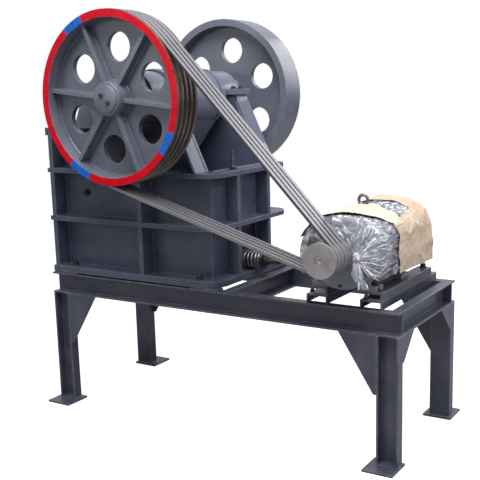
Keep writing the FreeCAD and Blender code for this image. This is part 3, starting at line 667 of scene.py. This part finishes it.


# ---------------- gaskets of the jaw's head, with painted seam shade
# The swing jaw's round head is closed at each end by a cover of its own size, and a black
# gasket ring between the two paints the shade of the seam as a dark line.
shaft_throw = 0.010
pitman_axis = axle - Vector((0, 0, shaft_throw))
barrel_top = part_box("pitman")[1][2]
gasket_radius = barrel_top - pitman_axis.z + 0.0008
gasket_bore = gasket_radius - 0.0048
gasket_width = 0.009
seam_shade_gasket_shape = bmesh.new()
for y in (-0.168, 0.168):
    turned(seam_shade_gasket_shape, pitman_axis + Vector((0, y - gasket_width / 2, 0)), (0, 1, 0),
           [(0, gasket_bore), (0, gasket_radius), (gasket_width, gasket_radius),
            (gasket_width, gasket_bore), (0, gasket_bore)], 96)
make_piece("seam_shade_gaskets", seam_shade_gasket_shape, gap_shade_rubber, "swing_jaw")


# ---------------- belts and motor pulley
# Four rubber V-belts with a woven cover, flecked paler in the weave, and darkened on their
# flanks with painted shade for the gaps between them. The pulley is a turned iron blank, left
# bare, and the motor shaft's end and key show in its bore.
belt_rubber, shader, place = start_finish("belt_rubber")
tone = blend(mottle(place, 6.0), (0.066, 0.064, 0.076), (0.104, 0.101, 0.120))
weave = grain(place, 420.0, 3.0)
tone = blend(times(weave, 0.55), tone, (0.20, 0.195, 0.215))
# Faces turned along Y, the belts' flanks, are darkened with painted shade for the gaps between belts.
facing = node(place, "NewGeometry").outputs["Normal"]
sideways = node(place, "SeparateXYZ", {0: facing}).outputs[1]
flank_painted_shade = times(maths("ABSOLUTE", sideways), 0.9)
join(shader, {
    "Base Color": blend(flank_painted_shade, tone, (0.026, 0.025, 0.028)),
    "Roughness": mottle(place, 12.0, 0.27, 0.42), "Specular IOR Level": 0.7,
    "Normal": raised(weave, 0.25, 0.0008, rounded(place, 0.0032, 6))})
repaint(["v_belts"], belt_rubber)


def turned_iron(name, centre, light, dark, rough):
    """Bare metal with the fine rings that a lathe leaves about an axis along Y."""
    finish, shader, place = start_finish(name)
    x, y, z, radius = from_axle(place, centre)
    rings = lathe_marks(radius, y, 1200.0, 1.0)
    tone = blend(mottle(place, 18.0, 0.0, 0.55, 6.0), blend(rings, dark, light),
                 (dark[0] * 0.7, dark[1] * 0.62, dark[2] * 0.55))
    join(shader, {
        "Base Color": tone, "Metallic": 0.8,
        "Roughness": mottle(place, 25.0, rough - 0.08, rough + 0.12),
        "Normal": raised(rings, 0.25, 0.0004, rounded(place, 0.0012, 4))})
    return finish


motor_axis = middle_of("motor_pulley") * Vector((1, 0, 1))
shaft_steel = turned_iron("motor_shaft_steel", motor_axis, (0.42, 0.41, 0.42),
                          (0.27, 0.265, 0.27), 0.36)
repaint(["motor_pulley"], turned_iron("pulley_iron", motor_axis, (0.38, 0.36, 0.365),
                                      (0.26, 0.245, 0.25), 0.46))
repaint(["motor_shaft"], shaft_steel)
repaint(["eccentric_shaft"], turned_iron("main_shaft_steel", axle, (0.40, 0.40, 0.40),
                                         (0.27, 0.27, 0.27), 0.34))


def block(shape, centre, size, lean=0.0):
    """A square-cut block, whose top may lean along X away from its foot."""
    for corner in bmesh.ops.create_cube(shape, size=1)["verts"]:
        x, y, z = corner.co
        corner.co = Vector(centre) + Vector((x * size[0] + lean * (z + 0.5), y * size[1], z * size[2]))


# The motor shaft's end stands in the pulley's bore, with its key and a centre hole.
bore_radius = 0.0205
end_shape = bmesh.new()
shaft_face = motor_axis + Vector((0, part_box("motor_shaft")[0][1], 0))
turned(end_shape, shaft_face + Vector((0, 0.0002, 0)), (0, -1, 0),
       [(0, bore_radius), (0.0016, bore_radius), (0.0026, bore_radius - 0.0015),
        (0.0026, 0.0060), (0.0006, 0.0030)], 40)
block(end_shape, shaft_face + Vector((0, -0.0012, bore_radius)), (0.010, 0.003, 0.010))
make_piece("pulley_shaft_end", end_shape, shaft_steel, "motor_rotor")


# ---------------- jaws
# Cast manganese jaw plates with upright teeth, one bolted to the front wall and one to the
# swing jaw, and smooth cheek plates at the sides. All are rough from the mould.
jaw_casting, shader, place = start_finish("jaw_casting")
tone = blend(mottle(place, 9.0, 0.0, 1.0, 8.0), (0.055, 0.054, 0.056), (0.115, 0.110, 0.105))
edges = times(edge_mask(place, 0.003, 0.8, 0.98), mottle(place, 30.0, 0.2, 0.9))
join(shader, {
    "Base Color": blend(edges, tone, (0.26, 0.25, 0.24)),
    "Roughness": mottle(place, 20.0, 0.48, 0.7), "Metallic": 0.55,
    "Normal": raised(grain(place, 130.0, 8.0), 0.5, 0.002)})
repaint(["cheek_plates"], jaw_casting)


def toothed_plate(name, body, back_top, back_foot, face_top, face_foot, half, replaced):
    """A plate between a back and a toothed face, each given at its top and its foot."""
    shape = bmesh.new()
    teeth = 10
    steps = teeth * 8
    sections = []
    for share in evenly(12):
        back = Vector(back_top).lerp(Vector(back_foot), share)
        out = Vector(face_top).lerp(Vector(face_foot), share) - back
        ring = [back + Vector((0, half, 0)), back + Vector((0, -half, 0))]
        for k in range(steps + 1):
            wave = 0.5 - 0.5 * cos(2 * pi * teeth * k / steps)
            depth = 1 - 0.40 * (1 - wave ** 0.8)
            ring.append(back + out * depth + Vector((0, -half + 2 * half * k / steps, 0)))
        sections.append(ring)
    skin_rings(shape, sections)
    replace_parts(make_piece(name, shape, jaw_casting, body, 50), replaced)


fixed_low, fixed_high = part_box("fixed_jaw_plate")
back_top, back_foot, face_top, face_foot = [
    (x, 0, z) for x in (fixed_low[0], fixed_high[0]) for z in (fixed_high[2], fixed_low[2])]
toothed_plate("fixed_jaw_teeth", "root", back_top, back_foot, face_top, face_foot,
              fixed_high[1], "fixed_jaw_plate")
jaw_thickness = 0.040
jaw_top = Vector((-0.585, 0, 1.450))
jaw_foot = Vector((-0.775, 0, 0.860))
run = (jaw_foot - jaw_top).normalized()
step_out = Vector((run.z, 0, -run.x)) * jaw_thickness
toothed_plate("swing_jaw_teeth", "swing_jaw", jaw_top, jaw_foot, jaw_top + step_out,
              jaw_foot + step_out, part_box("swing_jaw_plate")[1][1], "swing_jaw_plate")

# A ball-headed vent stands on top of the swing jaw's barrel.
vent_shape = bmesh.new()
turned(vent_shape, (axle.x, 0.082, barrel_top - 0.004), up,
       [(0, 0.016), (0.008, 0.016), (0.010, 0.010), (0.034, 0.009), (0.036, 0.012),
        (0.040, 0.0185), (0.047, 0.0235), (0.056, 0.0255), (0.065, 0.0235), (0.072, 0.0185),
        (0.076, 0.012), (0.078, 0.004)])
make_piece("barrel_vent", vent_shape, wheel_paint, "swing_jaw")


# ---------------- tension rod and spring
# A threaded rod from the swing jaw's foot comes out through the back wall. Its coil spring
# and two nuts draw the jaw back against the toggle plate.
def clamp(value):
    return min(1, max(0, value))


spring_low, spring_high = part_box("tension_spring")
spring_axis = middle_of("tension_spring") * Vector((0, 1, 1))
spring_end = spring_axis + Vector((spring_high[0], 0, 0))
wire = 0.0074
coil_radius = (spring_high[2] - spring_low[2]) / 2 - wire
coil_length = spring_high[0] - spring_low[0] - 2 * wire
turns = 4.6
end_share = 0.09
coil_points = []
for k in range(int(turns * 32) + 1):
    share = k / (turns * 32)
    rise = clamp((share - end_share) / 0.82)
    squash = share * 0.06 if share < end_share else 0.0054 + rise * 0.9892
    angle = 2 * pi * turns * share
    coil_points.append(spring_axis + Vector((spring_low[0] + wire + coil_length * min(1, squash),
                                             coil_radius * cos(angle),
                                             coil_radius * sin(angle))))
coil_shape = bmesh.new()
tube(coil_shape, coil_points, wire, 12)
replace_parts(make_piece("coil_spring", coil_shape,
                       black_steel("spring_steel", (0.085, 0.088, 0.105), 0.32),
                       "root", 60), "tension_spring")

tie_low, tie_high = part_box("tension_rod")
tie_radius = 0.013
tie_foot = spring_axis + Vector((tie_low[0], 0, 0))
smooth_length = spring_low[0] - tie_low[0]
rod_way = Vector((1, 0, 0))
tie_shape = bmesh.new()
turned(tie_shape, tie_foot, rod_way, [(0, 0.012), (0.002, tie_radius), (smooth_length, tie_radius)], 28)
turned(tie_shape, tie_foot + rod_way * smooth_length, rod_way,
       threaded(tie_high[0] - spring_low[0], tie_radius, 0.003, 0.0015), 24)
turned(tie_shape, spring_end, rod_way,
       [(0, 0.041), (0.0015, 0.042), (0.0065, 0.042), (0.008, 0.041)], 56)
for start, height, twist in ((0.008, 0.018, 0.2), (0.0265, 0.013, 0.7)):
    hexagon(tie_shape, spring_end + rod_way * start, rod_way, 0.040, height, twist)
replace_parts(black_piece("threaded_tension_rod", tie_shape), "tension_rod")


# ---------------- motor
# A totally enclosed motor: a ribbed iron frame between two end shields, a sheet cowl over
# its fan, cast feet and a terminal box on the right. Most of it is under the packing.
motor_low, motor_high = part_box("motor_body")
feet_low = motor_low[2]
motor_paint = sprayed_paint("motor_paint", (0.100, 0.108, 0.135), (0.145, 0.155, 0.185), 0.30, 0.6)
frame_front, frame_back = motor_low[1] + 0.060, motor_high[1] - 0.110
foot_places = (frame_front + 0.03, frame_back - 0.05)
fin_count = 56
fin_root, fin_tip = 0.146, 0.1605
shield_radius = 0.1615
motor_shape = bmesh.new()
section = []
for k in range(fin_count):
    for share, radius in ((0.0, fin_root), (0.30, fin_root), (0.42, fin_tip), (0.62, fin_tip),
                          (0.74, fin_root)):
        angle = 2 * pi * (k + share) / fin_count
        section.append((sin(angle) * radius, cos(angle) * radius))
skin_rings(motor_shape, [[motor_axis + Vector((x, y, z)) for x, z in section]
                         for y in (frame_front, frame_back)])
backward = Vector((0, 1, 0))
turned(motor_shape, motor_axis + backward * motor_low[1], backward,
       [(0, 0.030), (0, 0.052), (0.006, 0.056), (0.010, 0.060), (0.014, 0.120),
        (0.024, 0.148), (0.030, 0.158), (0.034, shield_radius), (0.058, shield_radius),
        (0.062, 0.150)], 80)
turned(motor_shape, motor_axis + backward * (frame_back - 0.002), backward,
       [(0, 0.150), (0.002, shield_radius), (0.020, shield_radius), (0.024, 0.158),
        (0.095, 0.157), (0.106, 0.150), (0.112, 0.138), (0.112, 0.060), (0.108, 0.056)], 80)
for side in (-1, 1):
    for y in foot_places:
        block(motor_shape, (motor_axis.x + side * 0.112, y, feet_low + 0.011),
              (side * 0.076, 0.072, 0.022))
        block(motor_shape, (motor_axis.x + side * 0.108, y, feet_low + 0.060),
              (side * 0.024, 0.062, 0.080), lean=side * -0.030)
box_middle = motor_axis + Vector((0.155, -0.235, 0.004))
block(motor_shape, box_middle, (0.056, 0.120, 0.110))
block(motor_shape, box_middle + Vector((0.0295, 0, 0)), (0.005, 0.128, 0.116))
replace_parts(make_piece("ribbed_motor", motor_shape, motor_paint, "root", 40),
            "motor_body")

bolt_shape = bmesh.new()
shield_bolts = 0.140
for k in range(6):
    angle = radians(30 + 60 * k)
    bolt(bolt_shape, motor_axis + Vector((shield_bolts * cos(angle), motor_low[1] + 0.021,
                                          shield_bolts * sin(angle))),
         -backward, 0.013, 0.006, washer=0)
for side in (-1, 1):
    for y in foot_places:
        bolt(bolt_shape, (motor_axis.x + side * 0.127, y, feet_low + 0.022), up, 0.022, 0.010,
             tail=0.008)
black_piece("motor_bolts", bolt_shape)

# A forged eyebolt screwed into the top of the frame, greyer than the bolts.
eye_low, eye_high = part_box("motor_eyebolt")
eye_outer = (eye_high[0] - eye_low[0]) / 2
eye_wire = 0.007
eye_radius = eye_outer - eye_wire
eye_middle = Vector((*middle_of("motor_eyebolt").xy, eye_high[2] - eye_outer))
eye_shape = bmesh.new()
tube(eye_shape, ring_points(eye_middle, eye_radius, 64),
     [eye_wire + 0.0012 * max(0, -sin(a)) ** 4 for a in around(64)], 16, closed=True)
turned(eye_shape, (eye_middle.x, eye_middle.y, eye_low[2]), up,
       [(0, 0.0155), (0.004, 0.0165), (0.007, 0.0155), (0.011, 0.010),
        (eye_middle.z - eye_radius - eye_low[2], 0.008)])
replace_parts(make_piece("lifting_eye", eye_shape,
                       black_steel("eyebolt_steel", (0.080, 0.080, 0.084), 0.38),
                       "root", 50), "motor_eyebolt")


# ---------------- motor rails
# The motor stands on two rolled slide rails, which are clamped to channels across the
# stand. Bolts through the rails let the motor be drawn back to tighten the belts.
slide_low, slide_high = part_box("motor_slide_rails")
rail_middle = 0.127
bolt_shape = bmesh.new()
for side in (-1, 1):
    x = motor_axis.x + side * rail_middle + 0.018
    for y in (slide_low[1] + 0.030, slide_high[1] - 0.025):
        bolt(bolt_shape, (x, y, slide_high[2]), up, 0.024, 0.016, tail=0.016)
    bolt(bolt_shape, (x - 0.036, slide_low[1] - 0.001, slide_low[2] + 0.018), -backward, 0.018,
         0.010, washer=0, tail=0.008)
black_piece("rail_bolts", bolt_shape)


# ---------------- film over the motor
# Thin clear film is drawn over the drive end, creased towards the knot that closes it, and
# tied beside the pulley with its tail left hanging.

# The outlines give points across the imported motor, in millimetres from its axis.
front_outline = ((-168, -98), (-176, -50), (-177, 0), (-164, 55), (-136, 100), (-98, 138),
                 (-50, 158), (0, 166), (52, 163), (98, 152), (140, 136), (172, 112),
                 (190, 80), (196, 30), (194, -30), (190, -97))
middle_outline = ((-168, -98), (-174, -50), (-175, 0), (-164, 55), (-138, 102), (-98, 140),
                  (-48, 158), (0, 163), (50, 161), (100, 151), (142, 136), (172, 112),
                  (190, 80), (196, 30), (196, -30), (192, -97))
back_outline = ((-166, -98), (-173, -50), (-174, 0), (-162, 60), (-132, 112), (-92, 150),
                (-46, 172), (0, 177), (50, 176), (86, 171), (130, 150), (170, 124),
                (196, 76), (205, 20), (209, -40), (210, -99))
stations = ((-0.378, front_outline), (-0.190, middle_outline), (0.165, back_outline))


def outline_point(share, y):
    """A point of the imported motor's outline: share runs from its left foot to its right."""
    first_station = 0 if y <= stations[1][0] else 1
    (start, first), (end, second) = stations[first_station:first_station + 2]
    along = clamp((y - start) / (end - start))
    place = share * (len(first) - 1)
    i = min(len(first) - 2, int(place))
    f = place - i

    def smooth(points, axis):
        before, here = points[max(0, i - 1)][axis], points[i][axis]
        there, beyond = points[i + 1][axis], points[min(len(points) - 1, i + 2)][axis]
        return 0.5 * (2 * here + (there - before) * f
                      + (2 * before - 5 * here + 4 * there - beyond) * f * f
                      + (3 * here - before - 3 * there + beyond) * f ** 3)

    x, z = [smooth(first, axis) * (1 - along) + smooth(second, axis) * along for axis in (0, 1)]
    return Vector((motor_axis.x + x / 1000, y, motor_axis.z + z / 1000))


def outward(point):
    away = point - motor_axis
    away.y = 0
    return away.normalized()


def crease(point, scale, seed, sharp=0.75):
    """Folded ridges: high along random lines, flat between them."""
    value = 1 - abs(noise.noise(point * scale + Vector((seed, seed * 0.7, -seed)))) * 2.6
    return max(0.0, value) ** (1 / sharp)


def sheet_piece(name, rows, finish, smooth, shape=None):
    """A sheet through rows of points, beside any mesh work that is already there."""
    shape = shape or bmesh.new()
    verts = [[shape.verts.new(point) for point in row] for row in rows]
    for first, second in zip(verts, verts[1:]):
        for i in range(len(first) - 1):
            shape.faces.new((first[i], first[i + 1], second[i + 1], second[i]))
    return make_piece(name, shape, finish, "root", smooth)


knot = motor_axis + Vector((0.090, -0.386, -0.012))


def clear_film(name, thin, streak):
    """Clear film: pale streaks run out from the knot along its folds, gloss between them."""
    finish, shader, place = start_finish(name)
    away, x, y, z = from_middle(place, knot)
    fan = node(place, "CombineXYZ", {0: times(maths("ARCTAN2", z, x), 2.4),
                                     1: times(length(away), 5.0), 2: times(y, 3.0)})
    folds = grain(fan.outputs[0], 2.1, 2.5, 0.9)
    loose = grain(place, 8.0, 1.5, 1.2)
    bright = 0.0
    for height, weight in ((folds, 1.0), (loose, 0.35)):
        ridge = maths("ABSOLUTE", maths("SUBTRACT", height, 0.5))
        line = times(outside(ramp(ridge, 0.002, 0.045)), weight)
        bright = maths("MAXIMUM", bright, line)
    # The film's far side, left of the knot, is darkened and made more opaque as painted shade.
    shaded = outside(ramp(x, -0.250, -0.190))
    tone = blend(bright, (0.38, 0.385, 0.45), (0.80, 0.80, 0.87))
    cover = maths("ADD", mottle(place, 5.0, -0.14, 0.40, 2.0), times(bright, streak))
    cover = maths("ADD", cover, times(shaded, 0.5))
    cover = node(place, "Math", {0: cover, 1: thin}, operation="ADD", use_clamp=True).outputs[0]
    broad = raised(folds, 0.6, 0.020)
    join(shader, {
        "Base Color": blend(times(shaded, 0.65), tone, (0.13, 0.135, 0.155)),
        "Alpha": cover, "Roughness": 0.16, "IOR": 1.5, "Specular IOR Level": 0.8,
        "Normal": raised(loose, 0.35, 0.012, broad)})
    return finish


collar_radius = 0.036
film_start, film_front, film_end = 0.075, -0.377, -0.3905
shares = evenly(150)


def film_over(share, y):
    point = outline_point(share, y)
    toward = point - knot
    fan = atan2(toward.z, toward.x)
    pull = max(0.0, 1 - toward.length / 0.26)
    ridge = abs(stray(fan * 7, toward.length * 3, 5)) * 0.010 * (0.3 + pull)
    fold = crease(point, 16, 3) * 0.0035 + crease(point, 37, 8) * 0.0016
    return point + outward(point) * (fold - ridge - 0.002)


film_rows = [[film_over(share, film_start + (film_front - film_start) * along)
              for share in shares] for along in evenly(96)]
rim_row = film_rows[-1]
for inward in evenly(39)[1:]:
    round_off = -0.006 * sin(min(1, inward * 5) * pi / 2)
    row = []
    for share, edge in zip(shares, rim_row):
        angle = radians(215 - 250 * share)
        point = edge.lerp(motor_axis + Vector((collar_radius * cos(angle),
                                               film_front - 0.009,
                                               collar_radius * sin(angle))), inward)
        toward = point - knot
        fan = atan2(toward.z, toward.x)
        near = exp(-toward.length / 0.09)
        ridge = stray(fan * 6, toward.length * 2.5, 1)
        depth = 0.0065 * ridge * (0.5 + near) + (crease(point, 30, 2) - 0.5) * 0.003
        row.append(Vector((point.x, max(film_end, point.y + round_off + depth), point.z)))
    film_rows.append(row)
film = sheet_piece("clear_film_cover", film_rows, clear_film("clear_film", 0.16, 0.38),
                   25)
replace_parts(film, "motor_film")

# The knot: gathered folds run into a tight lump, and the tail hangs below it.
knot_shape = bmesh.new()
bmesh.ops.create_icosphere(knot_shape, subdivisions=4, radius=1)
for vert in knot_shape.verts:
    way = vert.co.normalized()
    rough = 1 + 0.28 * noise.noise(way * 2.2 + Vector((4, 0, 0))) \
        + 0.16 * abs(noise.noise(way * 6))
    vert.co = knot + Vector((way.x * 0.017, way.y * 0.011, way.z * 0.022)) * rough \
        + Vector((0.004, -0.006, 0.006))
gather_rng = random.Random(21)
for k in range(15):
    angle = radians(-52 + 112 * k / 14 + gather_rng.uniform(-4, 4))
    reach = gather_rng.uniform(0.055, 0.105)
    way = Vector((cos(angle), 0, sin(angle)))
    points = []
    for f in evenly(8):
        sway = Vector((0, 0, 0.006 * sin(f * 3 + k)))
        points.append(knot + way * (0.010 + reach * f) + sway
                      + Vector((0, 0.001 + 0.010 * f ** 1.5 - 0.004 * sin(pi * f), 0)))
    tube(knot_shape, points, [0.0065 * (1 - 0.78 * f) for f in evenly(8)], 7)
tail_rows = []
for f in evenly(39):
    middle = knot + Vector((0.002 + 0.028 * f, -0.010 - 0.004 * sin(f * 5), -0.010 - 0.112 * f))
    width = 0.010 + 0.020 * min(1, f * 2.2) - 0.005 * f
    row = []
    for s in [2 * i - 1 for i in evenly(16)]:
        pleat = 0.0055 * sin(s * 9 + f * 4) * (0.4 + f)
        jag = 0.008 * stray(s * 4, 3, 0) if f == 1 else 0
        row.append(middle + Vector((s * width + 0.003 * sin(f * 9), pleat, jag)))
    tail_rows.append(row)
knot_piece = sheet_piece("film_knot", tail_rows, clear_film("gathered_film", 0.62, 0.30),
                         30, knot_shape)


# ---------------- paper over the motor
# Brown wrapping paper is folded round the back of the motor and down its right side. Its
# cream inner face is turned over the top, with a gap left for the eyebolt.
def wrapping_paper(name, light, dark):
    finish, shader, place = start_finish(name)
    tone = blend(mottle(place, 7.0, 0.0, 1.0, 5.0), light, dark)
    tone = blend(times(grain(place, 260.0, 5.0), 0.16), tone,
                 (dark[0] * 0.6, dark[1] * 0.55, dark[2] * 0.5))
    lines = node(place, "TexVoronoi", {"Vector": place, "Scale": 17.0},
                 feature="DISTANCE_TO_EDGE").outputs["Distance"]
    worn = times(outside(ramp(lines, 0.0, 0.045)), mottle(place, 14.0, 0.0, 0.6))
    broad = raised(grain(place, 20.0, 4.0, 1.2), 0.55, 0.010)
    join(shader, {
        "Base Color": blend(worn, tone, [min(1, part * 1.2) for part in light]),
        "Roughness": 0.78, "Specular IOR Level": 0.25,
        "Normal": raised(lines, 0.35, 0.004, broad)})
    return finish


def paper_point(share, y, lift):
    point = outline_point(share, y)
    dents = crease(point, 9, 6, 0.9) * 0.0060 + crease(point, 24, 10) * 0.0022
    return point + outward(point) * (lift + dents)


kraft_end = 0.168
kraft_rows = []
for along in evenly(70):
    row = []
    for share in shares:
        side_start = -0.196 + 0.012 * sin(share * 40)
        top_start = 0.048 + 0.010 * stray(share * 14, 2, 0)
        over = max(clamp((share - 0.68) / 0.045), clamp((0.26 - share) / 0.045))
        start = top_start * (1 - over) + side_start * over
        row.append(paper_point(share, start + (kraft_end - start) * along, 0.003))
    kraft_rows.append(row)
last_row = kraft_rows[-1]
end_middle = motor_axis + Vector((0.012, 0.172, -0.012))
for inward in evenly(21)[1:]:
    row = []
    for share, edge in zip(shares, last_row):
        point = edge.lerp(Vector((*end_middle.xy, min(edge.z, end_middle.z))), inward)
        pleats = stray(share * 13, inward * 1.5, 4) * 0.005
        row.append(Vector((point.x, 0.1735 + pleats * sin(inward * pi)
                           - 0.006 * (1 - min(1, inward * 6)), point.z)))
    kraft_rows.append(row)
kraft_finish = wrapping_paper("kraft_paper", (0.43, 0.345, 0.270), (0.33, 0.245, 0.180))
kraft = sheet_piece("brown_paper_wrap", kraft_rows, kraft_finish, 20)
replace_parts(kraft, "motor_paper")

cream_rows = []
for along in evenly(60):
    row = []
    for share in [0.20 + 0.56 * i for i in evenly(120)]:
        over_right = clamp((share - 0.46) / 0.28)
        front = -0.380 + 0.178 * over_right ** 1.3 + 0.008 * stray(share * 18, 7, 0)
        back = -0.098 + 0.025 * stray(share * 9, 3, 0) - 0.03 * over_right
        row.append(paper_point(share, front + (back - front) * along, 0.0060))
    cream_rows.append(row)
cream_finish = wrapping_paper("cream_paper", (0.43, 0.41, 0.32), (0.36, 0.34, 0.26))
cream = sheet_piece("cream_paper_band", cream_rows, cream_finish, 20)
